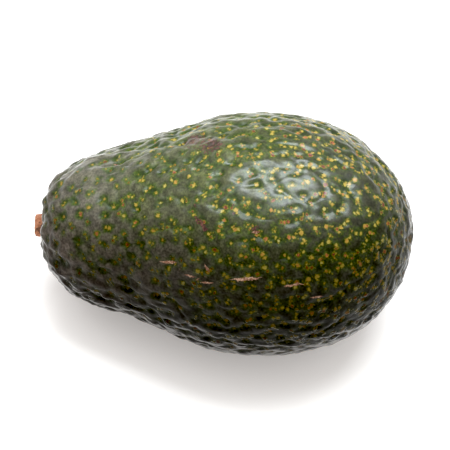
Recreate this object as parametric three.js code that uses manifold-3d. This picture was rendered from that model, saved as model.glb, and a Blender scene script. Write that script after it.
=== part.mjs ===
// An avocado lying on its side, with the woody button of its cut stalk still seated in the
// stem end. Millimetres, +Z up. The fruit rests on the plane z = 0, its long axis runs
// along X, and the stem end points towards -X. The origin is the middle of the resting spot.

import * as THREE from 'three';
import * as BufferGeometryUtils from 'three/addons/utils/BufferGeometryUtils.js';
import Module from 'manifold-3d';

// Outline of the fruit, from the stem end to the blossom end
const LENGTH = 103.2;
const BULB_RADIUS = 33.1;
const BULB_AT = 60.3;
const BULB_BLUNTNESS = 2.3;
const BULB_EASE = 13;
const NECK_RADIUS = 22.2;
const NECK_AT = 18.8;
const NECK_SLOPE = 0.22;
const NECK_EASE_TO_RIM = 13;
const NECK_EASE_TO_BULB = 8;
const RIM_RADIUS = 7.5;
const RIM_EASE = 3.6;
const STEM_HOLLOW = 0.8;
const OUTLINE_STEPS = 32;

// How the fruit lies
const PITCH = THREE.MathUtils.degToRad(8.5);
const REST_FLAT_DEPTH = 0.8;
const REST_SMOOTH_FROM = 0.3;
const REST_SMOOTH_TO = 1.8;

// Slight departures from a round section, as shares of the radius
const OVAL = 0.012;
const OVAL_TURN = 0;
const LOBE = 0.008;
const LOBE_TURN = THREE.MathUtils.degToRad(-150);

// Pebbled skin
const SKIN_SPLITS = 22;
const SAME_CORNER = 1e-3;
const PEBBLES = 520;
const PEBBLE_HEIGHT = 0.8;
const PEBBLE_REACH = 4.2;
const PEBBLE_GROOVE = 1.6;
const PEBBLE_UNEVENNESS = 0.3;
const PEBBLE_STRAY = 0.9;
const GOLDEN_ANGLE = Math.PI * (3 - Math.sqrt(5));
const SKIN_BANDS = 400;
const POLE_MARGIN = 0.001;

// Stem button and the socket it sits in
const BUTTON_ROOT_RADIUS = 4.1;
const BUTTON_FLARE_RADIUS = 4.4;
const BUTTON_WAIST_RADIUS = 3.3;
const BUTTON_FACE_RADIUS = 3;
const BUTTON_ROOT_DEPTH = 1.3;
const BUTTON_FLARE_RISE = 0.5;
const BUTTON_WAIST_RISE = 2.2;
const BUTTON_RISE = 4.1;
const BUTTON_DISH = 0.5;
const BUTTON_DISH_RADIUS = 1.6;
const BUTTON_LIP_RADIUS = 2.4;
const BUTTON_SIDES = 36;
const BUTTON_KNOBBLE = 0.07;
const BUTTON_LOBES = [[3, 1], [7, 0.6], [11, 0.4]];
const BUTTON_LEAN = THREE.MathUtils.degToRad(12);
const BUTTON_LEAN_AXIS = new THREE.Vector3(0, 0.8, 0.6);
const SOCKET_GAP = 0.3;
const SOCKET_SIDES = 40;
const SOCKET_REACH = 6;
const SOCKET_SMOOTH_FROM = 4.4;
const SOCKET_SMOOTH_TO = 6.5;

const wasm = await Module();
wasm.setup();

// The outline as a curve: x is the distance from the stem end, y is the radius.
const outline = new THREE.SplineCurve(outlinePoints());
const lie = restingPlace();
const pebbles = pebbleCentres();

function outlinePoints() {
  const pole = new THREE.Vector2(STEM_HOLLOW, 0);
  const rim = new THREE.Vector2(0, RIM_RADIUS);
  const neck = new THREE.Vector2(NECK_AT, NECK_RADIUS);
  const bulb = new THREE.Vector2(BULB_AT, BULB_RADIUS);
  const alongNeck = new THREE.Vector2(1, NECK_SLOPE);
  const hollowCurve = new THREE.CubicBezierCurve(
    pole,
    new THREE.Vector2(STEM_HOLLOW, RIM_EASE),
    new THREE.Vector2(0, RIM_RADIUS - RIM_EASE),
    rim
  );
  const shoulderCurve = new THREE.CubicBezierCurve(
    rim,
    new THREE.Vector2(0, RIM_RADIUS + RIM_EASE),
    neck.clone().addScaledVector(alongNeck, -NECK_EASE_TO_RIM),
    neck
  );
  const neckCurve = new THREE.CubicBezierCurve(
    neck,
    neck.clone().addScaledVector(alongNeck, NECK_EASE_TO_BULB),
    new THREE.Vector2(BULB_AT - BULB_EASE, BULB_RADIUS),
    bulb
  );
  const points = hollowCurve.getPoints(OUTLINE_STEPS);
  points.push(...shoulderCurve.getPoints(OUTLINE_STEPS).slice(1));
  points.push(...neckCurve.getPoints(OUTLINE_STEPS).slice(1));
  for (let step = 1; step <= OUTLINE_STEPS; step += 1) {
    points.push(bulbPoint(step / OUTLINE_STEPS));
  }
  return points;
}

// A point of the blunt half, from the widest place (share 0) to the blossom end (share 1).
function bulbPoint(share) {
  const reach = Math.sin((share * Math.PI) / 2);
  const radius = BULB_RADIUS * Math.sqrt(1 - reach ** BULB_BLUNTNESS);
  return new THREE.Vector2(BULB_AT + (LENGTH - BULB_AT) * reach, radius);
}

// Finds the lowest point of the underside once the axis is pitched, and returns the move
// that brings it to the origin and sinks it by the depth of the resting flat.
function restingPlace() {
  let lowest = new THREE.Vector3(0, 0, Infinity);
  for (let band = 0; band <= SKIN_BANDS; band += 1) {
    const { position } = smoothSkin(band / SKIN_BANDS, -Math.PI / 2);
    const point = layDown(position.x, position.y, position.z, new THREE.Vector3());
    lowest = point.z < lowest.z ? point : lowest;
  }
  return new THREE.Vector3(-lowest.x, 0, -lowest.z - REST_FLAT_DEPTH);
}

// Pitches a point of the upright frame, whose x runs along the fruit's axis, and moves it.
function layDown(along, y, z, move) {
  return new THREE.Vector3(along, y, z).applyAxisAngle(new THREE.Vector3(0, -1, 0), PITCH).add(move);
}

// The smooth skin at a share of the outline's length and an angle round the axis,
// with the outward normal. Both are in the fruit's own frame.
function smoothSkin(share, turn) {
  const { x: along, y: radius } = outline.getPointAt(share);
  const tangent = outline.getTangentAt(share);
  const swell = THREE.MathUtils.smoothstep(along, 0, NECK_AT);
  const oval = OVAL * Math.cos(2 * (turn - OVAL_TURN));
  const lobe = LOBE * Math.cos(3 * (turn - LOBE_TURN));
  const reach = radius * (1 + swell * (oval + lobe));
  const position = new THREE.Vector3(along, reach * Math.cos(turn), reach * Math.sin(turn));
  const normal = new THREE.Vector3(
    -tangent.y,
    tangent.x * Math.cos(turn),
    tangent.x * Math.sin(turn)
  );
  return { position, normal };
}

// Spreads the pebbles evenly: each takes an equal share of the skin's area and is turned
// by the golden angle from the one before, then strays a little from its place.
function pebbleCentres() {
  const bands = outline.getSpacedPoints(SKIN_BANDS).map((point) => point.y);
  const whole = bands.reduce((sum, radius) => sum + radius, 0);
  const centres = [];
  let covered = 0;
  bands.forEach((radius, band) => {
    covered += radius;
    while (centres.length < PEBBLES && covered >= ((centres.length + 0.5) / PEBBLES) * whole) {
      const number = centres.length;
      const stray = PEBBLE_STRAY * Math.sin(number * number);
      const share = THREE.MathUtils.clamp(band / SKIN_BANDS, POLE_MARGIN, 1 - POLE_MARGIN);
      const turn = number * GOLDEN_ANGLE + stray / Math.max(radius, PEBBLE_STRAY);
      centres.push(smoothSkin(share, turn).position);
    }
  });
  return centres;
}

// Height of the pebbled relief: a low dome round each centre, with a groove where two meet.
function pebbleRelief(position) {
  let nearest = Infinity;
  let second = Infinity;
  let number = 0;
  pebbles.forEach((centre, index) => {
    const distance = centre.distanceTo(position);
    if (distance < nearest) {
      second = nearest;
      nearest = distance;
      number = index;
    } else if (distance < second) {
      second = distance;
    }
  });
  const dome = Math.max(0, 1 - (nearest / PEBBLE_REACH) ** 2);
  const groove = THREE.MathUtils.smoothstep(second - nearest, 0, PEBBLE_GROOVE);
  const size = 1 - PEBBLE_UNEVENNESS * Math.abs(Math.sin(number));
  return PEBBLE_HEIGHT * size * dome * groove;
}

// One corner of the skin, from a unit direction out of the fruit. The relief dies away
// round the socket and where the fruit presses on the surface it rests on.
function skinCorner(direction) {
  const share = Math.acos(THREE.MathUtils.clamp(-direction.x, -1, 1)) / Math.PI;
  const turn = Math.atan2(direction.z, direction.y);
  const { position, normal } = smoothSkin(share, turn);
  const fromAxis = Math.hypot(position.y, position.z);
  const atStem = position.x < NECK_AT;
  const clearOfSocket = THREE.MathUtils.smoothstep(fromAxis, SOCKET_SMOOTH_FROM, SOCKET_SMOOTH_TO);
  const height = layDown(position.x, position.y, position.z, lie).z;
  const clearOfRest = THREE.MathUtils.smoothstep(height, REST_SMOOTH_FROM, REST_SMOOTH_TO);
  const relief = pebbleRelief(position) * clearOfRest * (atStem ? clearOfSocket : 1);
  position.addScaledVector(normal, relief);
  const corner = layDown(position.x, position.y, position.z, lie);
  corner.z = Math.max(corner.z, 0);
  return corner;
}

function skinGeometry() {
  const ball = new THREE.IcosahedronGeometry(1, SKIN_SPLITS);
  ball.deleteAttribute('normal');
  ball.deleteAttribute('uv');
  const geometry = BufferGeometryUtils.mergeVertices(ball, SAME_CORNER);
  const places = geometry.getAttribute('position');
  for (let index = 0; index < places.count; index += 1) {
    const direction = new THREE.Vector3().fromBufferAttribute(places, index);
    const corner = skinCorner(direction.normalize());
    places.setXYZ(index, corner.x, corner.y, corner.z);
  }
  return geometry;
}

// Turns a lathe profile of [radius, distance along the axis] pairs into a solid lying in
// the fruit. The distance is counted from the stem end and grows towards the blossom end.
// The last argument may reshape each corner, given in the fruit's own frame.
function layLathe(profile, sides, reshape = (spot) => spot) {
  const points = profile.map(([radius, along]) => new THREE.Vector2(radius, along));
  const lathe = new THREE.LatheGeometry(points, sides);
  lathe.deleteAttribute('normal');
  lathe.deleteAttribute('uv');
  const geometry = BufferGeometryUtils.mergeVertices(lathe, SAME_CORNER);
  const places = geometry.getAttribute('position');
  for (let index = 0; index < places.count; index += 1) {
    const turned = new THREE.Vector3().fromBufferAttribute(places, index);
    const spot = reshape(new THREE.Vector3(turned.y, turned.z, turned.x));
    const corner = layDown(spot.x, spot.y, spot.z, lie);
    places.setXYZ(index, corner.x, corner.y, corner.z);
  }
  return geometry;
}

// Makes the button lobed and leaning above the skin, and leaves its root round.
function knobbleAndLean(spot) {
  const base = new THREE.Vector3(STEM_HOLLOW, 0, 0);
  const rise = THREE.MathUtils.clamp((STEM_HOLLOW - spot.x) / BUTTON_RISE, 0, 1);
  const turn = Math.atan2(spot.z, spot.y);
  const lobes = BUTTON_LOBES.reduce((sum, [count, size]) => sum + size * Math.sin(count * turn), 0);
  const spread = 1 + BUTTON_KNOBBLE * lobes * Math.min(1, 2 * rise);
  const spreadSpot = new THREE.Vector3(spot.x, spot.y * spread, spot.z * spread);
  return spreadSpot.sub(base).applyAxisAngle(BUTTON_LEAN_AXIS, BUTTON_LEAN * rise).add(base);
}

function toSolid(geometry) {
  return new wasm.Manifold(new wasm.Mesh({
    numProp: 3,
    vertProperties: geometry.getAttribute('position').array,
    triVerts: Uint32Array.from(geometry.index.array)
  }));
}

function toGeometry(solid) {
  const mesh = solid.getMesh();
  const geometry = new THREE.BufferGeometry();
  geometry.setAttribute('position', new THREE.BufferAttribute(mesh.vertProperties, 3));
  geometry.setIndex(new THREE.BufferAttribute(mesh.triVerts, 1));
  return geometry;
}

function fruit() {
  const floor = STEM_HOLLOW + BUTTON_ROOT_DEPTH + SOCKET_GAP;
  const radius = BUTTON_FLARE_RADIUS + SOCKET_GAP;
  const profile = [[0, -SOCKET_REACH], [radius, -SOCKET_REACH], [radius, floor], [0, floor]];
  const socket = toSolid(layLathe(profile, SOCKET_SIDES));
  const skin = toSolid(skinGeometry());
  const material = new THREE.MeshStandardMaterial({ color: 0x34401c, roughness: 0.5, metalness: 0 });
  const mesh = new THREE.Mesh(toGeometry(skin.subtract(socket)), material);
  mesh.name = 'fruit';
  return mesh;
}

function stemButton() {
  const face = STEM_HOLLOW - BUTTON_RISE;
  const foot = STEM_HOLLOW + BUTTON_ROOT_DEPTH;
  const profile = [
    [0, face + BUTTON_DISH],
    [BUTTON_DISH_RADIUS, face + BUTTON_DISH / 2],
    [BUTTON_LIP_RADIUS, face],
    [BUTTON_FACE_RADIUS, face + BUTTON_DISH / 2],
    [BUTTON_WAIST_RADIUS, STEM_HOLLOW - BUTTON_WAIST_RISE],
    [BUTTON_FLARE_RADIUS, STEM_HOLLOW - BUTTON_FLARE_RISE],
    [BUTTON_ROOT_RADIUS, STEM_HOLLOW + BUTTON_ROOT_DEPTH / 2],
    [BUTTON_ROOT_RADIUS, foot],
    [0, foot]
  ];
  const geometry = layLathe(profile, BUTTON_SIDES, knobbleAndLean);
  const material = new THREE.MeshStandardMaterial({ color: 0x9a6a48, roughness: 0.85, metalness: 0 });
  const mesh = new THREE.Mesh(geometry, material);
  mesh.name = 'stem_button';
  return mesh;
}

const avocado = new THREE.Group();
avocado.add(fruit());
avocado.add(stemButton());

export default avocado;
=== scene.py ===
import math

import bmesh
import bpy
import numpy as np
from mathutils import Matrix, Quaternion, Vector, kdtree, noise


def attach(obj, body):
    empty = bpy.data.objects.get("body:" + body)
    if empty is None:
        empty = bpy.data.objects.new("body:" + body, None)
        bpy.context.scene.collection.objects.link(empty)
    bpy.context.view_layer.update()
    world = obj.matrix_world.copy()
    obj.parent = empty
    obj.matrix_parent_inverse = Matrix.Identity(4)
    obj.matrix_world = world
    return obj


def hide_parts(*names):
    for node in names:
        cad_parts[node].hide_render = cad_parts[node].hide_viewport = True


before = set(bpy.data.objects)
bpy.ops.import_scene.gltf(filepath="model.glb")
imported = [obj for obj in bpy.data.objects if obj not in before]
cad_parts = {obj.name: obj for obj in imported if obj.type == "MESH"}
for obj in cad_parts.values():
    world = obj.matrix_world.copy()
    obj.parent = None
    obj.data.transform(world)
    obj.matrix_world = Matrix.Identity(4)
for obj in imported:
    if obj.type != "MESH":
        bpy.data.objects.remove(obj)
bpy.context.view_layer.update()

# ---------------------------------------------------------------------------------------
# Camera. It stands over the fruit and looks steeply down, a little from the blossom end,
# from far enough away that the fruit's ends are hardly foreshortened.
# ---------------------------------------------------------------------------------------
MM = 0.001
CAMERA_HEIGHT_ANGLE = math.radians(57)
CAMERA_SIDE_ANGLE = math.radians(7.8)
CAMERA_DISTANCE = 700 * MM
CAMERA_LENS = 202
CAMERA_AIM = Vector((-7.9, 0, 33.8)) * MM

towards_camera = Vector((
    math.sin(CAMERA_SIDE_ANGLE) * math.cos(CAMERA_HEIGHT_ANGLE),
    -math.cos(CAMERA_SIDE_ANGLE) * math.cos(CAMERA_HEIGHT_ANGLE),
    math.sin(CAMERA_HEIGHT_ANGLE),
))
camera_data = bpy.data.cameras.new("camera")
camera_data.lens = CAMERA_LENS
camera = bpy.data.objects.new("camera", camera_data)
camera.location = CAMERA_AIM + towards_camera * CAMERA_DISTANCE
camera.rotation_euler = (-towards_camera).to_track_quat("-Z", "Y").to_euler()
bpy.context.scene.collection.objects.link(camera)
bpy.context.scene.camera = camera

# ---------------------------------------------------------------------------------------
# Peel. One closed skin of waxy dark green peel, grown as one piece with the fruit. It has
# long soft wrinkles along the fruit, hollows between them, and small corky breathing spots
# that mostly sit in the hollows. Underneath, its own weight presses a small flat.
# ---------------------------------------------------------------------------------------
# Outline, from the stem end to the blossom end.
LENGTH = 103.2 * MM
BULB_RADIUS = 33.1 * MM
BULB_AT = 60.3 * MM
BULB_BLUNTNESS = 2.3
BULB_EASE = 13 * MM
NECK_RADIUS = 22.2 * MM
NECK_AT = 18.8 * MM
NECK_SLOPE = 0.22
NECK_EASE_TO_RIM = 13 * MM
NECK_EASE_TO_BULB = 8 * MM
RIM_RADIUS = 7.5 * MM
RIM_EASE = 3.6 * MM
STEM_HOLLOW = 0.8 * MM
OUTLINE_STEPS = 80

# How the fruit lies.
PITCH = math.radians(8.5)
REST_FLAT_DEPTH = 0.8 * MM
REST_SMOOTH = (0.3 * MM, 1.8 * MM)

# Slight departures from a round section, as shares of the radius.
OVAL = 0.012
LOBE = 0.008
LOBE_TURN = math.radians(-150)

# Wrinkled relief. A draw is how many times longer a feature is along the fruit.
PEEL_CUTS = 127
PEEL_RISE = 0.45 * MM
SWELL_SIZE, SWELL_HEIGHT = 17 * MM, 0.5 * MM
WRINKLE_SIZE, WRINKLE_DRAW, WRINKLE_HEIGHT = 5.2 * MM, 2.0, 0.75 * MM
CREASE_SIZE, CREASE_DRAW, CREASE_WIDTH, CREASE_DEPTH = 7.5 * MM, 1.9, 0.07, 0.32 * MM
FINE_SIZE, FINE_DRAW, FINE_WIDTH, FINE_DEPTH = 3.6 * MM, 1.6, 0.11, 0.16 * MM
LUMP_SIZE, LUMP_DRAW, LUMP_HEIGHT = 2.3 * MM, 1.3, 0.40 * MM
RELIEF_AT_BLOSSOM = 0.62
CALMER_REACH = (0.25, 0.65)

# Stem end, with its socket and the folds that run into it, and the blossom end.
RIM_SINK, RIM_SINK_FADE = 0.9 * MM, (8 * MM, 15 * MM)
FOLD_COUNT, FOLD_HEIGHT, FOLD_REACH = 13, 0.2 * MM, (5 * MM, 20 * MM)
FOLD_WANDER_SIZE, FOLD_WANDER_ANGLE = 5 * MM, 4
SOCKET_RADIUS = 4.2 * MM
SOCKET_DEPTH = 1.4 * MM
SOCKET_SMOOTH = (4.4 * MM, 7 * MM)
BLOSSOM_SCAR_RADIUS = 1.5 * MM
BLOSSOM_SCAR_DEPTH = 0.35 * MM

# Places of the corky spots.
SPOT_SEED = 11
SPOT_TRIES = 14000
SPOT_STRAY = 0.08 * MM
SPOT_GAP_AT_STEM = 3.4 * MM
SPOT_GAP_AT_BLOSSOM = 2.2 * MM
COMPANION_SHARES = (0.95, 0.75)
COMPANION_RISE, COMPANION_RISE_REACH = (0.35, 1.0), (0.1, 0.7)
COMPANION_DISTANCE = (0.8 * MM, 1.5 * MM)
COMPANION_GAP = 2.2 * MM

# Pits that the spots of the first family sit in: some deep, the others faint.
PIT_DRAW = 0.7
PIT_RADIUS = 1.15 * MM
PIT_DEPTH_AT_STEM = 0.85 * MM
PIT_DEPTH_AT_BLOSSOM = 0.55 * MM
DEEP_PIT_SHARE = 0.5
DEEP_PIT, FAINT_PIT = (0.5, 1), (0, 0.25)
PITS_AT_STEM, PITS_REACH = 0.35, (2 * MM, 13 * MM)
PITS_FELT = 4
PIT_RAGGED_SIZE, PIT_RAGGED = 1.7 * MM, 0.7 * MM

# What counts as a hollow, and the direction of the lamps overhead. The colours use how much
# the peel faces it to paint light on that side and shade on the side turned away.
HOLLOW_OF_PITS, HOLLOW_OF_WRINKLES, HOLLOW_REACH = 1.3, 0.4, (0.0, 0.65)
TOWARDS_LAMPS = np.array((0, 0.35, 1))

# Scratches healed over with cork: distance of the middle from the stem end, its turn in
# degrees, half length, half width, and lean from the fruit's length in degrees.
SCRATCHES = (
    (42.0, 140, 2.9, 0.42, 4), (48.3, 145.4, 1.7, 0.35, -6), (52.9, 148, 2.1, 0.32, 3),
    (63.7, 145.2, 4.6, 0.55, 5), (76.2, 148.7, 2.8, 0.38, 2), (81.7, 156.4, 1.9, 0.36, -8),
    (53.1, 141, 1.5, 0.32, -64), (66.2, 122.8, 1.2, 0.6, 12), (66.0, -62, 3.4, 0.4, 8),
    (38.0, 12, 2.6, 0.35, -12), (71.0, -118, 4.0, 0.45, -5), (84.0, 30, 2.2, 0.35, 20),
    (30.0, -150, 2.4, 0.4, 10), (57.0, -20, 3.0, 0.36, -4), (88.0, -140, 2.0, 0.4, 35),
    (24.0, 75, 1.8, 0.3, -15),
)
# Rubbed patches: distance from the stem end, turn in degrees, and radius.
RUBS = (
    (45.5, 70, 4.2), (52.0, 78, 3.8), (66.1, 121.6, 1.3), (79.0, -35, 3.0), (35.0, -100, 3.5),
    (50.0, 117.2, 0.8), (51.0, 119.0, 0.9), (52.0, 120.9, 0.9), (52.9, 122.6, 0.7),
    (59.7, 111.0, 0.7), (59.9, 114.6, 0.7), (49.3, 111.5, 0.8), (41.0, 40, 1.2),
    (60.0, -75, 1.6),
)


def bezier(start, pull_out, pull_in, end):
    """Points along a curve that leaves the start towards one pull and meets the end from
    the other."""
    t = np.linspace(0, 1, OUTLINE_STEPS + 1)[:, None]
    weights = ((1 - t) ** 3, 3 * (1 - t) ** 2 * t, 3 * (1 - t) * t ** 2, t ** 3)
    corners = (start, pull_out, pull_in, end)
    return sum(weight * np.array(corner) for weight, corner in zip(weights, corners))


def evenly_along(corners, count):
    """The given number of evenly spaced places along a line through the corners."""
    steps = np.linalg.norm(np.diff(corners, axis=0), axis=1)
    travelled = np.concatenate(([0], np.cumsum(steps)))
    even = np.linspace(0, travelled[-1], count)
    return np.stack([np.interp(even, travelled, corners[:, side]) for side in (0, 1)], axis=1)


def peel_outline():
    """Distance from the stem end and radius, at even steps along the outline."""
    neck = np.array((NECK_AT, NECK_RADIUS))
    along_neck = np.array((1, NECK_SLOPE))
    hollow = bezier((STEM_HOLLOW, 0), (STEM_HOLLOW, RIM_EASE),
                    (0, RIM_RADIUS - RIM_EASE), (0, RIM_RADIUS))
    shoulder = bezier((0, RIM_RADIUS), (0, RIM_RADIUS + RIM_EASE),
                      neck - along_neck * NECK_EASE_TO_RIM, neck)
    body = bezier(neck, neck + along_neck * NECK_EASE_TO_BULB,
                  (BULB_AT - BULB_EASE, BULB_RADIUS), (BULB_AT, BULB_RADIUS))
    reach = np.sin(np.linspace(0, math.pi / 2, OUTLINE_STEPS + 1))
    bulb = np.stack((BULB_AT + (LENGTH - BULB_AT) * reach,
                     BULB_RADIUS * np.sqrt(1 - reach ** BULB_BLUNTNESS)), axis=1)
    points = np.concatenate((hollow, shoulder[1:], body[1:], bulb[1:]))
    return evenly_along(points, 8 * OUTLINE_STEPS)


outline = peel_outline()
outline_tangent = np.gradient(outline, axis=0)
outline_tangent /= np.linalg.norm(outline_tangent, axis=1)[:, None]
outline_share = np.linspace(0, 1, len(outline))


def smooth_step(value, low, high):
    """Goes smoothly from zero to one as the value goes from low to high."""
    share = np.clip((value - low) / (high - low), 0, 1)
    return share * share * (3 - 2 * share)


def smooth_peel(share, turn):
    """Points and outward normals of the unwrinkled peel, in the fruit's own frame: x runs
    along the fruit from the stem end, and turn is counted round it."""
    along, radius = (np.interp(share, outline_share, outline[:, side]) for side in (0, 1))
    run, climb = (np.interp(share, outline_share, outline_tangent[:, side]) for side in (0, 1))
    uneven = OVAL * np.cos(2 * turn) + LOBE * np.cos(3 * (turn - LOBE_TURN))
    reach = radius * (1 + smooth_step(along, 0, NECK_AT) * uneven)
    points = np.stack((along, reach * np.cos(turn), reach * np.sin(turn)), axis=-1)
    normals = np.stack((-climb, run * np.cos(turn), run * np.sin(turn)), axis=-1)
    return points, normals


def lay_down(points, lift=0.0, shift=0.0):
    """Pitches points of the fruit's own frame and moves them to where the fruit lies."""
    along = points[..., 0] * math.cos(PITCH) - points[..., 2] * math.sin(PITCH) + shift
    up = points[..., 0] * math.sin(PITCH) + points[..., 2] * math.cos(PITCH) + lift
    return np.stack((along, points[..., 1], up), axis=-1)


underside = lay_down(smooth_peel(np.linspace(0, 1, 2000), np.full(2000, -math.pi / 2))[0])
lowest = underside[underside[:, 2].argmin()]
SHIFT, LIFT = -lowest[0], -lowest[2] - REST_FLAT_DEPTH


def noise_over(points, size, draw=1.0, layer=0.0):
    """Smooth noise with features of about the given size, drawn out along the fruit. Each
    layer number gives another pattern."""
    scaled = points / size
    scaled[:, 0] /= draw
    return np.array([noise.noise(point) for point in (scaled + layer).tolist()])


def crease(points, size, draw, layer, width):
    """One along narrow winding lines where the noise passes through nothing, else zero."""
    return np.exp(-(noise_over(points, size, draw, layer) / width) ** 2)


def wrinkle_height(points):
    """Swells, wrinkles and lumps of the peel, less two sizes of crease."""
    swell = SWELL_HEIGHT * noise_over(points, SWELL_SIZE)
    wrinkle = WRINKLE_HEIGHT * noise_over(points, WRINKLE_SIZE, WRINKLE_DRAW, 20)
    creases = CREASE_DEPTH * crease(points, CREASE_SIZE, CREASE_DRAW, 40, CREASE_WIDTH)
    fine = FINE_DEPTH * crease(points, FINE_SIZE, FINE_DRAW, 60, FINE_WIDTH)
    lumps = LUMP_HEIGHT * noise_over(points, LUMP_SIZE, LUMP_DRAW, 100)
    return swell + wrinkle + lumps - creases - fine


def spread_out(points, gaps):
    """Keeps the points that lie further than their gap from every point kept before."""
    kept = []
    places = np.empty((0, 3))
    for number, (point, gap) in enumerate(zip(points, gaps)):
        if not kept or np.min(np.linalg.norm(places - point, axis=1)) > gap:
            kept.append(number)
            places = np.vstack((places, point))
    return kept


def corky_spots(draw):
    """Places of three families of spots. The first wins the lowest places of the peel, and
    the other two are companions beside some of the first. No family crowds itself."""
    share = draw.uniform(0, 1, 3 * SPOT_TRIES)
    radius = np.interp(share, outline_share, outline[:, 1])
    share = share[draw.uniform(0, radius.max(), len(share)) < radius][:SPOT_TRIES]
    points, normals = smooth_peel(share, draw.uniform(-math.pi, math.pi, len(share)))
    order = np.argsort(wrinkle_height(points) + draw.normal(0, SPOT_STRAY, len(points)))
    points, normals = points[order], normals[order]
    gaps = SPOT_GAP_AT_STEM + (SPOT_GAP_AT_BLOSSOM - SPOT_GAP_AT_STEM) * points[:, 0] / LENGTH
    kept = spread_out(points, gaps)
    points, normals = points[kept], normals[kept]
    families = [points]
    more = np.interp(points[:, 0] / LENGTH, COMPANION_RISE_REACH, COMPANION_RISE)
    for companion_share in COMPANION_SHARES:
        chosen = draw.uniform(0, 1, len(points)) < companion_share * more
        away = draw.normal(0, 1, (chosen.sum(), 3))
        outward = normals[chosen]
        away -= outward * np.sum(away * outward, axis=1)[:, None]
        distance = draw.uniform(*COMPANION_DISTANCE, len(away))
        away *= (distance / np.linalg.norm(away, axis=1))[:, None]
        companions = points[chosen] + away
        families.append(companions[spread_out(companions, [COMPANION_GAP] * len(companions))])
    return families


spot_draw = np.random.default_rng(SPOT_SEED)
spot_families = corky_spots(spot_draw)
spot_dice = [spot_draw.uniform(0, 1, len(family)) for family in spot_families]
pit_size = np.where(spot_draw.uniform(0, 1, len(spot_families[0])) < DEEP_PIT_SHARE,
                    spot_draw.uniform(*DEEP_PIT, len(spot_families[0])),
                    spot_draw.uniform(*FAINT_PIT, len(spot_families[0])))


def spots_near(points, spots, count):
    """Numbers of the nearest few spots to each point, nearest first."""
    tree = kdtree.KDTree(len(spots))
    for number, spot in enumerate(spots.tolist()):
        tree.insert(spot, number)
    tree.balance()
    return np.array([[found[1] for found in tree.find_n(point, count)]
                     for point in points.tolist()])


def pit_height(points, near):
    """The sum of the pits that the nearest spots of the first family sit in."""
    away = points[:, None, :] - spot_families[0][near]
    away[..., 0] *= PIT_DRAW
    ragged = PIT_RAGGED * noise_over(points, PIT_RAGGED_SIZE, 1, 120)
    distance = np.linalg.norm(away, axis=2) + ragged[:, None]
    share = points[:, 0] / LENGTH
    depth = PIT_DEPTH_AT_STEM + (PIT_DEPTH_AT_BLOSSOM - PIT_DEPTH_AT_STEM) * share
    return -depth * np.sum(pit_size[near] * np.exp(-(distance / PIT_RADIUS) ** 2), axis=1)


# A short way on along the outline, as a share of it, which shows what is forward.
SHORT_STEP = 0.002


def place_on_peel(along, turn):
    """A point of the smooth peel, its outward normal and the direction along the fruit.
    The distance along it is in millimetres and the turn in degrees."""
    side = slice(outline[:, 0].argmin(), None)
    share = np.interp(along * MM, outline[side, 0], outline_share[side])
    pair = np.array([share, share + SHORT_STEP])
    points, normals = smooth_peel(pair, np.full(2, math.radians(turn)))
    forward = points[1] - points[0]
    return points[0], normals[0], forward / np.linalg.norm(forward)


def scratch_coordinates(points):
    """Along and across the nearest scratch, as shares of its half length and half width,
    and the distance from it in millimetres."""
    nearest = np.full(len(points), np.inf)
    result = np.zeros((len(points), 3))
    for along, turn, half_length, half_width, lean in SCRATCHES:
        middle, normal, forward = place_on_peel(along, turn)
        sideways = np.cross(normal, forward)
        angle = math.radians(lean)
        away = (points - middle) / MM
        ahead = away @ (forward * math.cos(angle) + sideways * math.sin(angle))
        aside = away @ (sideways * math.cos(angle) - forward * math.sin(angle))
        apart = np.linalg.norm(away, axis=1) ** 2 - ahead ** 2
        past_end = np.maximum(np.abs(ahead) - half_length, 0)
        apart = np.sqrt(past_end ** 2 + np.maximum(apart, 0))
        closer = apart < nearest
        nearest[closer] = apart[closer]
        shares = np.stack((ahead / half_length, aside / half_width, apart), axis=1)
        result[closer] = shares[closer]
    return result


def rubbed_share(points):
    """One in the middle of a rubbed patch, fading to nothing outside it."""
    total = np.zeros(len(points))
    for along, turn, radius in RUBS:
        middle, _, _ = place_on_peel(along, turn)
        total += np.exp(-(np.linalg.norm(points - middle, axis=1) / (radius * MM)) ** 2)
    return total


grid = bmesh.new()
bmesh.ops.create_cube(grid, size=2)
bmesh.ops.subdivide_edges(grid, edges=grid.edges[:], cuts=PEEL_CUTS, use_grid_fill=True)
way_out = np.tan(np.array([vert.co[:] for vert in grid.verts]) * math.pi / 4)
way_out /= np.linalg.norm(way_out, axis=1)[:, None]
share = np.arccos(np.clip(-way_out[:, 0], -1, 1)) / math.pi
turn = np.arctan2(way_out[:, 2], way_out[:, 1])
smooth, outward = smooth_peel(share, turn)
near = spots_near(smooth, spot_families[0], PITS_FELT)
pits = pit_height(smooth, near)
wrinkles = wrinkle_height(smooth)
from_axis = np.hypot(smooth[:, 1], smooth[:, 2])
at_stem = smooth[:, 0] < NECK_AT / 2
clear_of_socket = np.where(at_stem, smooth_step(from_axis, *SOCKET_SMOOTH), 1)
clear_of_rest = smooth_step(lay_down(smooth, LIFT, SHIFT)[:, 2], *REST_SMOOTH)
calmer = 1 + (RELIEF_AT_BLOSSOM - 1) * smooth_step(smooth[:, 0] / LENGTH, *CALMER_REACH)
at_rim = np.where(at_stem, 1 - smooth_step(from_axis, *RIM_SINK_FADE), 0)
pits *= PITS_AT_STEM + (1 - PITS_AT_STEM) * smooth_step(smooth[:, 0], *PITS_REACH)
relief = PEEL_RISE + (pits + wrinkles * calmer) * clear_of_socket * clear_of_rest
fold_wander = FOLD_WANDER_ANGLE * noise_over(smooth, FOLD_WANDER_SIZE, 1, 140)
folds = np.cos(FOLD_COUNT * turn + fold_wander)
folds *= (1 - smooth_step(smooth[:, 0], *FOLD_REACH)) * clear_of_rest
relief += FOLD_HEIGHT * folds * clear_of_socket - RIM_SINK * at_rim
blossom_scar = np.where(at_stem, 0, np.exp(-(from_axis / BLOSSOM_SCAR_RADIUS) ** 4))
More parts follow.
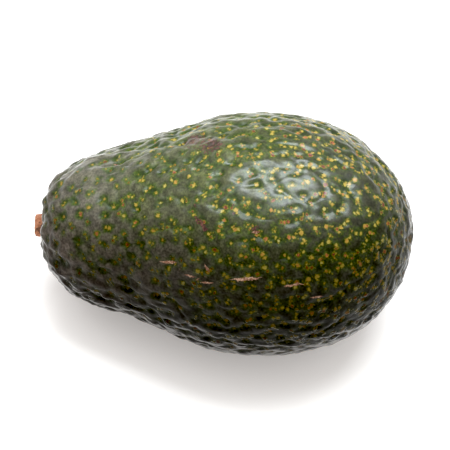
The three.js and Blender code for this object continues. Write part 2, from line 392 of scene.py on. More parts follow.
relief -= BLOSSOM_SCAR_DEPTH * blossom_scar
placed = smooth + outward * relief[:, None]
socket = np.where(at_stem & (from_axis < SOCKET_RADIUS), SOCKET_DEPTH, 0)
placed[:, 0] += socket
placed = lay_down(placed, LIFT, SHIFT)
placed[:, 2] = np.maximum(placed[:, 2], 0)
for vert, place in zip(grid.verts, placed.tolist()):
    vert.co = place
bmesh.ops.recalc_face_normals(grid, faces=grid.faces[:])
peel_mesh = bpy.data.meshes.new("peel")
grid.to_mesh(peel_mesh)
grid.free()
peel_mesh.shade_smooth()


def keep_on_mesh(mesh, name, values):
    """Stores one number or one vector for each corner of the mesh, for its material."""
    kind, slot = ("FLOAT", "value") if values.ndim == 1 else ("FLOAT_VECTOR", "vector")
    stored = mesh.attributes.new(name, kind, "POINT")
    stored.data.foreach_set(slot, np.ascontiguousarray(values, dtype=np.float32).ravel())


for number, (family, dice) in enumerate(zip(spot_families, spot_dice)):
    closest = spots_near(smooth, family, 1)[:, 0]
    way = (smooth - family[closest]) / MM
    keep_on_mesh(peel_mesh, f"spot_way_{number}", way)
    keep_on_mesh(peel_mesh, f"spot_gap_{number}", np.linalg.norm(way, axis=1))
    keep_on_mesh(peel_mesh, f"spot_dice_{number}", dice[closest])
hollow = -(HOLLOW_OF_PITS * pits + HOLLOW_OF_WRINKLES * wrinkles) / MM
keep_on_mesh(peel_mesh, "hollow", smooth_step(hollow, *HOLLOW_REACH))
# How much the peel faces the lamps overhead, which the colours use for painted light and
# painted shade.
keep_on_mesh(peel_mesh, "lamp_facing", lay_down(outward) @ TOWARDS_LAMPS)
keep_on_mesh(peel_mesh, "from_stem", smooth[:, 0] / LENGTH)
keep_on_mesh(peel_mesh, "from_axis", from_axis / MM)
keep_on_mesh(peel_mesh, "scratch", scratch_coordinates(smooth))
keep_on_mesh(peel_mesh, "rubbed", rubbed_share(smooth))


def add_node(tree, kind, settings=None, inputs=None):
    """Adds a shader node. Each input is a value, or another node's output to link from."""
    made = tree.nodes.new(kind)
    for name, value in (settings or {}).items():
        setattr(made, name, value)
    for name, value in (inputs or {}).items():
        if isinstance(value, bpy.types.NodeSocket):
            tree.links.new(value, made.inputs[name])
        else:
            made.inputs[name].default_value = value
    return made


def calculate(tree, operation, *values, clamp=False):
    settings = {"operation": operation, "use_clamp": clamp}
    return add_node(tree, "ShaderNodeMath", settings, dict(enumerate(values))).outputs[0]


def times(tree, first, second):
    return calculate(tree, "MULTIPLY", first, second)


def plus(tree, first, second, clamp=False):
    return calculate(tree, "ADD", first, second, clamp=clamp)


def stretch(tree, value, gain, shift):
    """The value times the gain, plus the shift."""
    return calculate(tree, "MULTIPLY_ADD", value, gain, shift)


def greatest(tree, value, *others):
    for other in others:
        value = calculate(tree, "MAXIMUM", value, other)
    return value


def mix_colour(tree, share, low, high, way="MIX"):
    """Input 0 of the node is the share, 6 and 7 are the two colours, and output 2 the mix."""
    made = add_node(tree, "ShaderNodeMix", {"data_type": "RGBA", "blend_type": way})
    for number, value in ((0, share), (6, low), (7, high)):
        if isinstance(value, bpy.types.NodeSocket):
            tree.links.new(value, made.inputs[number])
        else:
            made.inputs[number].default_value = value
    return made.outputs[2]


def tone(tree, colour, amount):
    """The colour made darker or lighter by the amount."""
    return mix_colour(tree, 1.0, colour, amount, "MULTIPLY")


def fade(tree, value, low, high, from_value=0.0, to_value=1.0):
    """Goes smoothly from from_value to to_value as value goes from low to high."""
    inputs = {"Value": value, "From Min": low, "From Max": high,
              "To Min": from_value, "To Max": to_value}
    settings = {"interpolation_type": "SMOOTHSTEP"}
    return add_node(tree, "ShaderNodeMapRange", settings, inputs).outputs[0]


def choose(tree, test, otherwise, value):
    """The value where the test is one, and otherwise the other."""
    return fade(tree, test, 0, 1, otherwise, value)


def read_attribute(tree, name, output="Fac"):
    return add_node(tree, "ShaderNodeAttribute", {"attribute_name": name}).outputs[output]


def noise_texture(tree, place, size, detail, rough):
    """Soft noise from zero to one. Detail is the number of finer layers in it, and rough is
    how strong each is."""
    inputs = {"Vector": place, "Scale": 1 / size, "Detail": detail, "Roughness": rough}
    return add_node(tree, "ShaderNodeTexNoise", {}, inputs).outputs["Fac"]


def new_material(name):
    made = bpy.data.materials.new(name)
    made.use_nodes = True
    return made, made.node_tree, made.node_tree.nodes["Principled BSDF"]


def rgb(red, green, blue):
    return (red, green, blue, 1.0)


def new_group(name, inputs, outputs):
    """An empty shader node group with the given named number, vector or colour sockets."""
    group = bpy.data.node_groups.new(name, "ShaderNodeTree")
    for in_out, sockets in (("INPUT", inputs), ("OUTPUT", outputs)):
        for socket_name, kind in sockets.items():
            group.interface.new_socket(socket_name, in_out=in_out,
                                       socket_type="NodeSocket" + kind)
    given = group.nodes.new("NodeGroupInput").outputs
    return group, given, group.nodes.new("NodeGroupOutput").inputs


def place_group(tree, group, **inputs):
    """Puts a group in a tree. An input's name is written with an underscore for a space."""
    made = add_node(tree, "ShaderNodeGroup", {"node_tree": group},
                    {name.replace("_", " "): value for name, value in inputs.items()})
    return made.outputs


SPOT_FLAT_MIDDLE = 0.3
SPOT_RAGGED = (1.2, -0.6)
DICE_STIR = 17.3
CORK_GRAIN = {"Detail": 4.0, "Roughness": 0.65}
CORK_FLECK, CORK_CRACK = (0.36, 0.66, 0, 1), (0.0, 0.12, 0, 1)


def corky_spot_group():
    """One family of spots: how far away the nearest spot is, and how far its edge is, which
    is negative inside it. Both are in millimetres."""
    group, given, result = new_group(
        "corky_spot",
        {"Way": "Vector", "Gap": "Float", "Dice": "Float", "Ragged": "Float",
         "Smallest": "Float", "Largest": "Float"},
        {"Apart": "Float", "Edge": "Float"})
    length = add_node(group, "ShaderNodeVectorMath", {"operation": "LENGTH"},
                      {0: given["Way"]}).outputs["Value"]
    gap = calculate(group, "SUBTRACT", given["Gap"], SPOT_FLAT_MIDDLE)
    apart = greatest(group, length, gap)
    uneven = plus(group, apart, stretch(group, given["Ragged"], *SPOT_RAGGED))
    second_dice = calculate(group, "FRACT", times(group, given["Dice"], DICE_STIR))
    span = calculate(group, "SUBTRACT", given["Largest"], given["Smallest"])
    radius = stretch(group, second_dice, span, given["Smallest"])
    group.links.new(apart, result["Apart"])
    group.links.new(calculate(group, "SUBTRACT", uneven, radius), result["Edge"])
    return group


def cork_group():
    """Dry cork, as on healed scratches, scars and the stem: a pale and dark fleck pattern
    and its roughness as a height."""
    group, given, result = new_group(
        "cork", {"Place": "Vector", "Fleck Size": "Float", "Pale": "Color", "Dark": "Color"},
        {"Color": "Color", "Height": "Float"})
    pattern = {"Vector": given["Place"],
               "Scale": calculate(group, "DIVIDE", 1.0, given["Fleck Size"])}
    fleck = add_node(group, "ShaderNodeTexNoise", {}, {**pattern, **CORK_GRAIN}).outputs["Fac"]
    crack = add_node(group, "ShaderNodeTexVoronoi", {"feature": "DISTANCE_TO_EDGE"},
                     pattern).outputs["Distance"]
    opened = fade(group, crack, *CORK_CRACK)
    share = times(group, fade(group, fleck, *CORK_FLECK), opened)
    group.links.new(mix_colour(group, share, given["Dark"], given["Pale"]), result["Color"])
    group.links.new(times(group, fleck, opened), result["Height"])
    return group


corky_spot = corky_spot_group()
cork = cork_group()

# Colours of the skin, its cork and its scars. The skin colours come in lit and shaded copies:
# where the peel faces the lamps it is painted paler and greener as painted light, and where it
# is turned away it is painted darker as painted shade.
PEEL_BLACKISH_PAINTED_SHADE = rgb(0.021, 0.019, 0.015)
PEEL_SHADE = rgb(0.047, 0.047, 0.028)
PEEL_GREEN_PAINTED_SHADE = rgb(0.023, 0.022, 0.013)
PEEL_LIT = rgb(0.150, 0.168, 0.053)
PEEL_RIPE = rgb(0.063, 0.066, 0.022)
PEEL_BROWN = rgb(0.110, 0.095, 0.077)
PEEL_BROWN_PAINTED_SHADE = rgb(0.064, 0.051, 0.042)
PEEL_FRESH = rgb(0.060, 0.092, 0.006)
PEEL_PIT_GREEN_AND_SHADE = rgb(0.021, 0.040, 0.007)
PEEL_PIT_PAINTED_SHADE_BELOW = rgb(0.024, 0.025, 0.014)
COLLAR_GREY, SCAR_BROWN = rgb(0.20, 0.18, 0.14), rgb(0.11, 0.085, 0.06)
SPOT_RIM = rgb(0.19, 0.155, 0.02)
SPOT_COLOURS = (
    (0.00, rgb(0.38, 0.34, 0.12)),
    (0.22, rgb(0.40, 0.30, 0.06)),
    (0.60, rgb(0.40, 0.24, 0.05)),
    (0.86, rgb(0.36, 0.12, 0.05)),
    (0.98, rgb(0.14, 0.03, 0.025)),
)
SCRATCH_PALE, SCRATCH_DARK = rgb(0.36, 0.23, 0.16), rgb(0.14, 0.065, 0.042)
RUB_PALE, RUB_DARK = rgb(0.130, 0.050, 0.044), rgb(0.034, 0.014, 0.014)

# Noise patterns: size of the features, number of finer layers, and how strong they are.
RAGGED = (0.65 * MM, 2, 0.5)
SPECKLE = (0.6 * MM, 2, 0.5)
PORES = (0.9 * MM, 3, 0.55)
LEATHERY = (2.2 * MM, 3, 0.5)
SCRATCH_WANDER = (2.6 * MM, 2, 0.5)
MOTTLE = (5 * MM, 4, 0.6)
BROAD = (26 * MM, 2, 0.5)

# Spots, in millimetres: the sizes of each family, the loose grains between them, and how
# their edges fade. A fade is where it begins and ends, and what it goes from and to. A
# stretch is a gain and a shift.
SPOT_SIZES = ((0.30, 0.72), (0.26, 0.60), (0.24, 0.52))
GRAIN_SIZE, GRAIN_RADIUS, GRAIN_THINNING = 1.0, 0.56, 0.42
FAR_AWAY = 100.0
SPOTS_GROW = (0.1, 0.9, 0.05, -0.04)
SPOT_EDGE, SPOT_CORE = (-0.14, 0.10, 1, 0), (-0.36, -0.06, 1, 0)
SPOT_RAGGED_DICE = (0.8, -0.28)
# Spots are painted darker as painted shade where the peel is turned from the lamps, and toned
# by the distance from the stem.
SPOT_PAINTED_SHADE, SPOT_FROM_STEM = (0, 0.9, 0.30, 1), (0.05, 0.5, 0.75, 1)
SPOT_STRENGTH = 0.85

# How the skin's colours share it out.
# The share of the peel facing the lamps, used to paint light on that side and shade on the
# side turned away.
LAMP_FACING_FADE = (0.1, 1.1, 0, 1)
RIPE_FROM_STEM = (0.35, 0.85, 0, 1)
GREEN_IN_HOLLOWS, GREEN_MOTTLE, GREEN_PAINTED_LIGHT = 0.35, (1.6, -0.75), 0.3
BROWN_PATCHES, BROWN_FROM_STEM = (1.0, -0.52), (0.05, 0.55, 0.95, 0)
BROWN_ON_RIDGES = (0.2, 0.8, 0.9, 0.2)
# Darkest green in the pits and in the valleys round the spots: partly the skin's own green
# there, partly painted shade in the hollows.
VALLEY_MOTTLE, VALLEY, VALLEY_STRENGTH = (4.6, -2.3), (0.3, 1.9, 1, 0), 0.75
PIT_STRENGTH = 0.95
FRESH_RING, FRESH_PAINTED_LIGHT = (0, 0.6, 1, 0), (0, 1, 0.08, 0.6)
SPECKLE_TONE, LEATHERY_TONE = (0.3, 0.7, 0.72, 1.28), (0.3, 0.7, 0.68, 1.3)
TONE_FROM_STEM = (0.5, 0.85, 1, 0.74)
# Painted shade: the whole skin colour is darkened on the underside, away from the lamps.
UNDERSIDE_PAINTED_SHADE = (-0.5, 0.3, 0.36, 1)

# Marks: rubbed patches, scratches, the grey collar round the stem and the blossom scar.
RUB_STRENGTH, RUB_EDGE, RUB_FLECK = 0.55, (0.82, 0.98, 0, 0.85), 1.3 * MM
SCRATCH_SWING, SCRATCH_RAGGED = (3.6, -1.8), (2.4, -0.2)
SCRATCH_EDGE, SCRATCH_END = (-0.1, 0.35, 0, 1), (1.3, 1.8, 1, 0)
SCRATCH_FLECK = 0.7 * MM
END_RAGGED = 1.6
COLLAR_INSIDE, COLLAR_OUTSIDE = (5.8, 7.6, 0.75, 0), (7, 17, 0.3, 0)
SCAR_EDGE = (1.5, 2.1, 0.8, 0)

# Fine relief, and the gloss of the wax. The rim is where the skin turns out of sight.
PORE_HEIGHT, LEATHERY_HEIGHT, SPOT_HEIGHT, FINE_RELIEF = 0.45, 0.9, 0.6, 0.2 * MM
SPOT_DRYNESS = 0.3
PEEL_ROUGHNESS, DRY_ROUGHNESS = (0.24, 0.20), 0.75
WAX_FACING_LAMPS, WAX_PATCHES = (0.3, 1, 0, 1), (0.3, 0.6, 0.27, 0.54)
WAX_WHERE_DRY = (0, 1, 1, 0.2)
RIM, RIM_BELOW = (0.77, 0.93, 0, 1), (-0.6, 0, 0.19, 0)
RIM_ON_RIDGES = (0.05, 0.5, 1, 0.15)
WAX_ROUGHNESS, WAX_IOR, PEEL_SHINE = 0.34, 1.8, 0.065


def find_spots(tree, place, ragged, from_stem):
    """How far the nearest spot is, how far off the edge of the nearest spot or grain is,
    and the dice of that one, which picks its colour."""
    apart, edge, dice = FAR_AWAY, FAR_AWAY, 0.0
    for number, (smallest, largest) in enumerate(SPOT_SIZES):
        own_dice = read_attribute(tree, f"spot_dice_{number}")
        found = place_group(
            tree, corky_spot, Way=read_attribute(tree, f"spot_way_{number}", "Vector"),
            Gap=read_attribute(tree, f"spot_gap_{number}"), Dice=own_dice,
            Ragged=ragged, Smallest=smallest, Largest=largest)
        nearer = calculate(tree, "LESS_THAN", found["Edge"], edge)
        dice = choose(tree, nearer, dice, own_dice)
        apart = calculate(tree, "MINIMUM", apart, found["Apart"])
        edge = calculate(tree, "MINIMUM", edge, found["Edge"])
    grains = add_node(tree, "ShaderNodeTexVoronoi", {},
                      {"Vector": place, "Scale": 1 / (GRAIN_SIZE * MM)}).outputs
    grain_dice = add_node(tree, "ShaderNodeSeparateColor", {},
                          {"Color": grains["Color"]}).outputs[0]
    grain = stretch(tree, grains["Distance"], GRAIN_SIZE, -GRAIN_RADIUS)
    grain = stretch(tree, apart, GRAIN_THINNING, grain)
    dice = choose(tree, calculate(tree, "LESS_THAN", edge, grain), grain_dice, dice)
    edge = calculate(tree, "MINIMUM", edge, grain)
    return apart, plus(tree, edge, fade(tree, from_stem, *SPOTS_GROW)), dice


def skin_colour(tree, facing_lamps, from_stem, deep, mottle, broad, apart):
    """The clean skin: blackish to green, brown on the ridges near the stem, and darkest
    green in the pits and in the valleys round the spots. Painted light makes the side
    facing the lamps paler and greener, and painted shade makes the side turned away
    darker. The dark green of the pits and valleys is partly the skin's own green and
    partly painted shade in the hollows."""
    # Lit and shaded copies of the skin colours: painted light and painted shade by how much
    # the peel faces the lamps.
    shade = mix_colour(tree, facing_lamps, PEEL_BLACKISH_PAINTED_SHADE, PEEL_SHADE)
    lit = mix_colour(tree, fade(tree, from_stem, *RIPE_FROM_STEM), PEEL_LIT, PEEL_RIPE)
    lit = mix_colour(tree, facing_lamps, PEEL_GREEN_PAINTED_SHADE, lit)
    green = plus(tree, times(tree, deep, GREEN_IN_HOLLOWS),
                 stretch(tree, mottle, *GREEN_MOTTLE), clamp=True)
    green = plus(tree, green, times(tree, facing_lamps, GREEN_PAINTED_LIGHT), clamp=True)
    colour = mix_colour(tree, green, shade, lit)
    browned = plus(tree, stretch(tree, broad, *BROWN_PATCHES),
                   fade(tree, from_stem, *BROWN_FROM_STEM), clamp=True)
    browned = times(tree, browned, fade(tree, deep, *BROWN_ON_RIDGES))
    # Brown, painted darker as painted shade where the peel is turned from the lamps.
    brown = mix_colour(tree, facing_lamps, PEEL_BROWN_PAINTED_SHADE, PEEL_BROWN)
    colour = mix_colour(tree, browned, colour, brown)
    # Pits and valleys round the spots: the skin's own green with painted shade in the hollows,
    # darker still where turned from the lamps.
    valley = fade(tree, plus(tree, apart, stretch(tree, mottle, *VALLEY_MOTTLE)), *VALLEY)
    hollow_green_and_shade = greatest(tree, times(tree, valley, VALLEY_STRENGTH), deep)
    pit_green_and_shade = mix_colour(tree, facing_lamps, PEEL_PIT_PAINTED_SHADE_BELOW, PEEL_PIT_GREEN_AND_SHADE)
    return mix_colour(tree, times(tree, hollow_green_and_shade, PIT_STRENGTH), colour, pit_green_and_shade)


def spot_colour(tree, dice, ragged, core, facing_lamps, from_stem):
    """Cork from straw to rust by the dice, with a greenish rim. It is painted darker, as
    painted shade, where the peel is turned away from the lamps.
    """
    dice = plus(tree, dice, stretch(tree, ragged, *SPOT_RAGGED_DICE))
    ramp = add_node(tree, "ShaderNodeValToRGB", {}, {"Fac": dice})
    while len(ramp.color_ramp.elements) < len(SPOT_COLOURS):
        ramp.color_ramp.elements.new(0.5)
    for element, (position, tint) in zip(ramp.color_ramp.elements, SPOT_COLOURS):
        element.position = position
        element.color = tint
    colour = mix_colour(tree, core, SPOT_RIM, ramp.outputs["Color"])
    colour = tone(tree, colour, fade(tree, facing_lamps, *SPOT_PAINTED_SHADE))
    return tone(tree, colour, fade(tree, from_stem, *SPOT_FROM_STEM))


def healed_scratches(tree, place, ragged):
    """One on the corky scab of a scratch, which tapers to its ends and wanders a little."""
    along, across, away = add_node(tree, "ShaderNodeSeparateXYZ", {}, {
        "Vector": read_attribute(tree, "scratch", "Vector")}).outputs
    taper = calculate(tree, "SUBTRACT", 1.0, times(tree, along, along))
    width = times(tree, taper, stretch(tree, ragged, *SCRATCH_RAGGED))
    swing = stretch(tree, noise_texture(tree, place, *SCRATCH_WANDER), *SCRATCH_SWING)
    aside = calculate(tree, "ABSOLUTE", plus(tree, across, swing))
    healed = fade(tree, calculate(tree, "SUBTRACT", width, aside), *SCRATCH_EDGE)
    return times(tree, healed, fade(tree, away, *SCRATCH_END))


def end_marks(tree, ragged, from_stem):
    """The grey collar round the stem, and the scar that the blossom left."""
    at_blossom = calculate(tree, "GREATER_THAN", from_stem, 0.5)
    at_stem = calculate(tree, "SUBTRACT", 1.0, at_blossom)
    uneven = stretch(tree, ragged, END_RAGGED, read_attribute(tree, "from_axis"))
    collar = greatest(tree, fade(tree, uneven, *COLLAR_INSIDE),
                      fade(tree, uneven, *COLLAR_OUTSIDE))
    scar = fade(tree, uneven, *SCAR_EDGE)
    return times(tree, at_stem, collar), times(tree, at_blossom, scar)


def peel_material():
    material, tree, shader = new_material("peel")
    place = add_node(tree, "ShaderNodeTexCoord").outputs["Object"]
    deep = read_attribute(tree, "hollow")
    from_stem = read_attribute(tree, "from_stem")
    lamp_facing = read_attribute(tree, "lamp_facing")
    # Painted light and shade: how much this place faces the lamps.
    facing_lamps = fade(tree, lamp_facing, *LAMP_FACING_FADE)
    ragged, mottle, broad, leathery = (
        noise_texture(tree, place, *pattern) for pattern in (RAGGED, MOTTLE, BROAD, LEATHERY))
    apart, edge, dice = find_spots(tree, place, ragged, from_stem)

    colour = skin_colour(tree, facing_lamps, from_stem, deep, mottle, broad, apart)
    # A fresh green ring round the spots, its own colour, made stronger as painted light where
    # the peel faces the lamps.
    fresh = times(tree, fade(tree, edge, *FRESH_RING), fade(tree, facing_lamps, *FRESH_PAINTED_LIGHT))
    colour = mix_colour(tree, fresh, colour, PEEL_FRESH)
    speckle = fade(tree, noise_texture(tree, place, *SPECKLE), *SPECKLE_TONE)
    speckle = times(tree, speckle, fade(tree, leathery, *LEATHERY_TONE))
    colour = tone(tree, colour, times(tree, speckle, fade(tree, from_stem, *TONE_FROM_STEM)))

    spot = fade(tree, edge, *SPOT_EDGE)
    core = fade(tree, edge, *SPOT_CORE)
    corky = spot_colour(tree, dice, ragged, core, facing_lamps, from_stem)
    colour = mix_colour(tree, times(tree, spot, SPOT_STRENGTH), colour, corky)

    rub = plus(tree, times(tree, read_attribute(tree, "rubbed"), RUB_STRENGTH), ragged)
    rubbed = place_group(tree, cork, Place=place, Fleck_Size=RUB_FLECK,
                         Pale=RUB_PALE, Dark=RUB_DARK)
    colour = mix_colour(tree, fade(tree, rub, *RUB_EDGE), colour, rubbed["Color"])
    healed = healed_scratches(tree, place, ragged)
    scab = place_group(tree, cork, Place=place, Fleck_Size=SCRATCH_FLECK,
                       Pale=SCRATCH_PALE, Dark=SCRATCH_DARK)
    colour = mix_colour(tree, healed, colour, scab["Color"])
    collar, scar = end_marks(tree, ragged, from_stem)
    colour = mix_colour(tree, collar, colour, COLLAR_GREY)
    colour = mix_colour(tree, scar, colour, SCAR_BROWN)
    # Painted shade: darken the whole colour on the underside, turned away from the lamps.
    colour = tone(tree, colour, fade(tree, lamp_facing, *UNDERSIDE_PAINTED_SHADE))
    tree.links.new(colour, shader.inputs["Base Color"])

    height = plus(tree, times(tree, noise_texture(tree, place, *PORES), PORE_HEIGHT),
                  times(tree, leathery, LEATHERY_HEIGHT))
    height = plus(tree, height, times(tree, spot, SPOT_HEIGHT))
    height = plus(tree, height, times(tree, healed, scab["Height"]))
    bump = add_node(tree, "ShaderNodeBump", {},
                    {"Height": height, "Distance": FINE_RELIEF, "Strength": 1.0}).outputs[0]
    tree.links.new(bump, shader.inputs["Normal"])

    dry = greatest(tree, healed, scar, times(tree, spot, SPOT_DRYNESS), collar)
    gloss = stretch(tree, mottle, *PEEL_ROUGHNESS)
    tree.links.new(fade(tree, dry, 0, 1, gloss, DRY_ROUGHNESS), shader.inputs["Roughness"])
    waxy = times(tree, fade(tree, facing_lamps, *WAX_FACING_LAMPS), fade(tree, broad, *WAX_PATCHES))
    turned_away = add_node(tree, "ShaderNodeLayerWeight", {},
                           {"Blend": 0.5, "Normal": bump}).outputs["Facing"]
    rim = plus(tree, turned_away, fade(tree, lamp_facing, *RIM_BELOW))
    rim = times(tree, fade(tree, rim, *RIM), fade(tree, deep, *RIM_ON_RIDGES))
    waxy = times(tree, greatest(tree, waxy, rim), fade(tree, dry, *WAX_WHERE_DRY))
    tree.links.new(waxy, shader.inputs["Coat Weight"])
    shader.inputs["Coat Roughness"].default_value = WAX_ROUGHNESS
    shader.inputs["Coat IOR"].default_value = WAX_IOR
    shader.inputs["Specular IOR Level"].default_value = PEEL_SHINE
    return material


peel_mesh.materials.append(peel_material())
peel = bpy.data.objects.new("peel", peel_mesh)
bpy.context.scene.collection.objects.link(peel)
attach(peel, "root")
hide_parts("fruit")

# ---------------------------------------------------------------------------------------
# Stem button. The dry woody stub that stays in the fruit when it is picked. It flares
# where it grows out of the peel, and ends in a torn and slightly dished face.
# ---------------------------------------------------------------------------------------
BUTTON_ROOT_RADIUS = 4.1 * MM
BUTTON_FLARE_RADIUS = 4.9 * MM
BUTTON_WAIST_RADIUS = 3.3 * MM
BUTTON_FACE_RADIUS = 3.0 * MM
BUTTON_ROOT_DEPTH = 1.3 * MM
BUTTON_FLARE_RISE = 0.5 * MM
BUTTON_WAIST_RISE = 2.2 * MM
BUTTON_RISE = 4.1 * MM
BUTTON_DISH = 0.5 * MM
BUTTON_DISH_RADIUS = 1.6 * MM
BUTTON_LIP_RADIUS = 2.4 * MM
BUTTON_TORN_RADIUS = 1.92 * MM
BUTTON_RINGS = 90
BUTTON_SIDES = 160
BUTTON_KNOBBLE = 0.07
BUTTON_LOBES = ((3, 1), (7, 0.6), (11, 0.4))
BUTTON_LEAN = math.radians(12)
BUTTON_LEAN_AXIS = Vector((0, 0.8, 0.6))
BARK_SIZE, BARK_DRAW, BARK_HEIGHT = 0.9 * MM, 2.4, 0.28 * MM
FIBRE_SIZE, FIBRE_HEIGHT = 0.45 * MM, 0.22 * MM

# Shares of the rise at which the knobbles and the bark are full, and the face begins.
KNOBBLE_REACH, BARK_REACH, FACE_FROM = 0.5, 0.25, 0.8


def button_profile():
    """Evenly spaced places down the button's side, from the middle of its face."""
    face, foot = STEM_HOLLOW - BUTTON_RISE, STEM_HOLLOW + BUTTON_ROOT_DEPTH
    corners = np.array((
        (face + BUTTON_DISH, 0), (face + BUTTON_DISH / 2, BUTTON_DISH_RADIUS),
        (face, BUTTON_LIP_RADIUS), (face + BUTTON_DISH / 2, BUTTON_FACE_RADIUS),
        (STEM_HOLLOW - BUTTON_WAIST_RISE, BUTTON_WAIST_RADIUS),
        (STEM_HOLLOW - BUTTON_FLARE_RISE, BUTTON_FLARE_RADIUS),
        (STEM_HOLLOW + BUTTON_ROOT_DEPTH / 2, BUTTON_ROOT_RADIUS),
        (foot, BUTTON_ROOT_RADIUS), (foot, 0)))
    places = evenly_along(corners, BUTTON_RINGS + 1)
    places[1:-1] = (places[:-2] + 2 * places[1:-1] + places[2:]) / 4
    return places


button_grid = bmesh.new()
button_side = [button_grid.verts.new((along, radius, 0)) for along, radius in button_profile()]
button_edges = [button_grid.edges.new(pair) for pair in zip(button_side, button_side[1:])]
bmesh.ops.spin(button_grid, geom=button_side + button_edges, cent=(0, 0, 0), axis=(1, 0, 0),
               angle=2 * math.pi, steps=BUTTON_SIDES, use_merge=True)
bmesh.ops.remove_doubles(button_grid, verts=button_grid.verts[:], dist=0.001 * MM)
bmesh.ops.recalc_face_normals(button_grid, faces=button_grid.faces[:])
plain = np.array([vert.co[:] for vert in button_grid.verts])
button_turn = np.arctan2(plain[:, 2], plain[:, 1])
button_radius = np.hypot(plain[:, 1], plain[:, 2])
rise = np.clip((STEM_HOLLOW - plain[:, 0]) / BUTTON_RISE, 0, 1)
lobes = sum(size * np.sin(count * button_turn) for count, size in BUTTON_LOBES)
bark = BARK_HEIGHT * noise_over(plain, BARK_SIZE, BARK_DRAW, 80)
spread = 1 + BUTTON_KNOBBLE * lobes * np.minimum(1, rise / KNOBBLE_REACH)
on_side = smooth_step(button_radius, BUTTON_TORN_RADIUS, BUTTON_FACE_RADIUS)
spread += bark * on_side * np.minimum(1, rise / BARK_REACH) / np.maximum(button_radius, 1 * MM)
plain[:, 1:] *= spread[:, None]
on_face = np.where(rise > FACE_FROM, 1 - on_side, 0)
fibres = FIBRE_HEIGHT * noise_over(plain * np.array((0, 1, 1)), FIBRE_SIZE, 1, 90)
plain[:, 0] += fibres * on_face
base = Vector((STEM_HOLLOW, 0, 0))
for vert, place, lean in zip(button_grid.verts, plain.tolist(), (BUTTON_LEAN * rise).tolist()):
    vert.co = Quaternion(BUTTON_LEAN_AXIS, lean) @ (Vector(place) - base) + base
leaned = np.array([vert.co[:] for vert in button_grid.verts])
for vert, place in zip(button_grid.verts, lay_down(leaned, LIFT, SHIFT).tolist()):
    vert.co = place
button_mesh = bpy.data.meshes.new("stem_button")
button_grid.to_mesh(button_mesh)
button_grid.free()
button_mesh.shade_smooth()
keep_on_mesh(button_mesh, "rise", rise)
keep_on_mesh(button_mesh, "from_axis", button_radius / MM)

WOOD_PALE, WOOD_TAN = rgb(0.58, 0.26, 0.14), rgb(0.38, 0.15, 0.08)
WOOD_DARK, WOOD_GREY = rgb(0.06, 0.03, 0.02), rgb(0.15, 0.12, 0.10)
WOOD_RAGGED = (0.8 * MM, 3, 0.5)
TAN_FLECK, GREY_FLECK = 0.55 * MM, 0.8 * MM
GREY_RAGGED, GREY_BELOW = 0.5, (0.45, 0.75, 1, 0)
BLOT, BLOT_FADE = (1.8 * MM, 2, 0.5), (0.58, 0.66, 0, 0.8)
VESSEL_RING, VESSEL_RING_FADE = 2.1, (0.15, 0.4, 1, 0)
VESSEL_RAGGED, VESSEL_RISE = (0.45, 0.6, 0, 1), (0.85, 0.95, 0, 0.8)
WOOD_ROUGHNESS = (0.25, 0.65)
WOOD_RELIEF = 0.2 * MM


def dry_wood_material():
    material, tree, shader = new_material("dry_wood")
    place = add_node(tree, "ShaderNodeTexCoord").outputs["Object"]
    rise = read_attribute(tree, "rise")
    ragged = noise_texture(tree, place, *WOOD_RAGGED)
    tan = place_group(tree, cork, Place=place, Fleck_Size=TAN_FLECK,
                      Pale=WOOD_PALE, Dark=WOOD_TAN)
    grey = place_group(tree, cork, Place=place, Fleck_Size=GREY_FLECK,
                       Pale=WOOD_GREY, Dark=WOOD_DARK)
    low_down = fade(tree, stretch(tree, ragged, GREY_RAGGED, rise), *GREY_BELOW)
    colour = mix_colour(tree, low_down, tan["Color"], grey["Color"])
    blot = fade(tree, noise_texture(tree, place, *BLOT), *BLOT_FADE)
    colour = mix_colour(tree, blot, colour, WOOD_DARK)

    from_ring = calculate(tree, "SUBTRACT", read_attribute(tree, "from_axis"), VESSEL_RING)
    vessels = fade(tree, calculate(tree, "ABSOLUTE", from_ring), *VESSEL_RING_FADE)
    vessels = times(tree, vessels, fade(tree, ragged, *VESSEL_RAGGED))
    vessels = times(tree, vessels, fade(tree, rise, *VESSEL_RISE))
    colour = mix_colour(tree, vessels, colour, WOOD_DARK)
    tree.links.new(colour, shader.inputs["Base Color"])
    tree.links.new(stretch(tree, ragged, *WOOD_ROUGHNESS), shader.inputs["Roughness"])
    bump = add_node(tree, "ShaderNodeBump", {},
                    {"Height": tan["Height"], "Distance": WOOD_RELIEF})
    tree.links.new(bump.outputs[0], shader.inputs["Normal"])
    return material


button_mesh.materials.append(dry_wood_material())
button = bpy.data.objects.new("button", button_mesh)
bpy.context.scene.collection.objects.link(button)
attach(button, "root")
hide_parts("stem_button")

# ---------------------------------------------------------------------------------------
# Floor and light. A plain white table that glows very slightly, two cool soft boxes
# overhead, and a weak one at the blossom end. The room is pale, brighter in front.
# ---------------------------------------------------------------------------------------
FLOOR_HALF = 0.6
TABLE_WHITE, TABLE_GLOW_TINT = rgb(0.97, 0.92, 0.89), rgb(1, 0.98, 0.96)
TABLE_ROUGHNESS, TABLE_GLOW = 0.9, 0.11
KEY_PLACE, KEY_SIZE, KEY_POWER = Vector((0.07, 0.22, 0.82)), (0.60, 0.42), 8.4
WIDE_PLACE, WIDE_SIZE, WIDE_POWER = Vector((-0.08, 0.13, 0.84)), (0.90, 0.62), 2.7
FILL_PLACE, FILL_SIZE, FILL_POWER = Vector((0.50, 0.10, 0.62)), (0.50, 0.50), 0.45
LIGHT_TINT = (0.88, 0.96, 1.0)
ROOM_FRONT, ROOM_BACK = 1.2, 0.77
ROOM_TURN = (-0.8, -0.1)
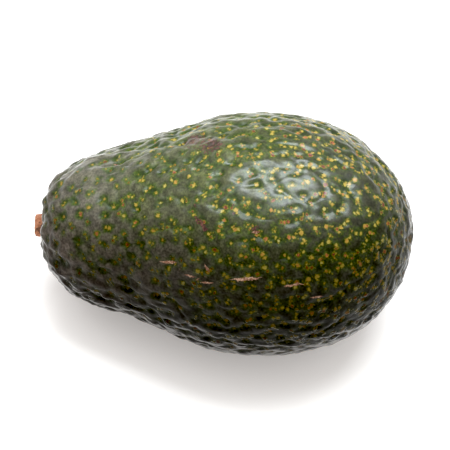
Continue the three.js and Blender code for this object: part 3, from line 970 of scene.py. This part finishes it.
ROOM_SEEN = rgb(1, 1, 1)
CONTRAST_BLACK = 0.023

floor_grid = bmesh.new()
bmesh.ops.create_grid(floor_grid, x_segments=1, y_segments=1, size=FLOOR_HALF)
floor_mesh = bpy.data.meshes.new("floor")
floor_grid.to_mesh(floor_mesh)
floor_grid.free()
floor_material, _, floor_shader = new_material("floor")
floor_shader.inputs["Base Color"].default_value = TABLE_WHITE
floor_shader.inputs["Roughness"].default_value = TABLE_ROUGHNESS
floor_shader.inputs["Emission Color"].default_value = TABLE_GLOW_TINT
floor_shader.inputs["Emission Strength"].default_value = TABLE_GLOW
floor_mesh.materials.append(floor_material)
floor = bpy.data.objects.new("floor", floor_mesh)
bpy.context.scene.collection.objects.link(floor)


def soft_box(name, place, size, power):
    """A flat light that faces the middle of the table."""
    data = bpy.data.lights.new(name, "AREA")
    data.shape = "RECTANGLE"
    data.size, data.size_y = size
    data.energy = power
    data.color = LIGHT_TINT
    box = bpy.data.objects.new(name, data)
    box.location = place
    box.rotation_euler = (-place).to_track_quat("-Z", "Y").to_euler()
    bpy.context.scene.collection.objects.link(box)


soft_box("key", KEY_PLACE, KEY_SIZE, KEY_POWER)
soft_box("wide", WIDE_PLACE, WIDE_SIZE, WIDE_POWER)
soft_box("fill", FILL_PLACE, FILL_SIZE, FILL_POWER)

world = bpy.data.worlds.new("room")
bpy.context.scene.world = world
world.use_nodes = True
room = world.node_tree
path = add_node(room, "ShaderNodeLightPath")
direction = add_node(room, "ShaderNodeTexCoord").outputs["Generated"]
backwards = add_node(room, "ShaderNodeSeparateXYZ", {}, {"Vector": direction}).outputs["Y"]
walls = fade(room, backwards, *ROOM_TURN, ROOM_FRONT, ROOM_BACK)
seen = mix_colour(room, path.outputs["Is Camera Ray"], walls, ROOM_SEEN)
room.links.new(seen, room.nodes["Background"].inputs["Color"])

view = bpy.context.scene.view_settings
view.view_transform = "Standard"
view.use_curve_mapping = True
view.curve_mapping.black_level = [CONTRAST_BLACK] * 3
view.curve_mapping.update()
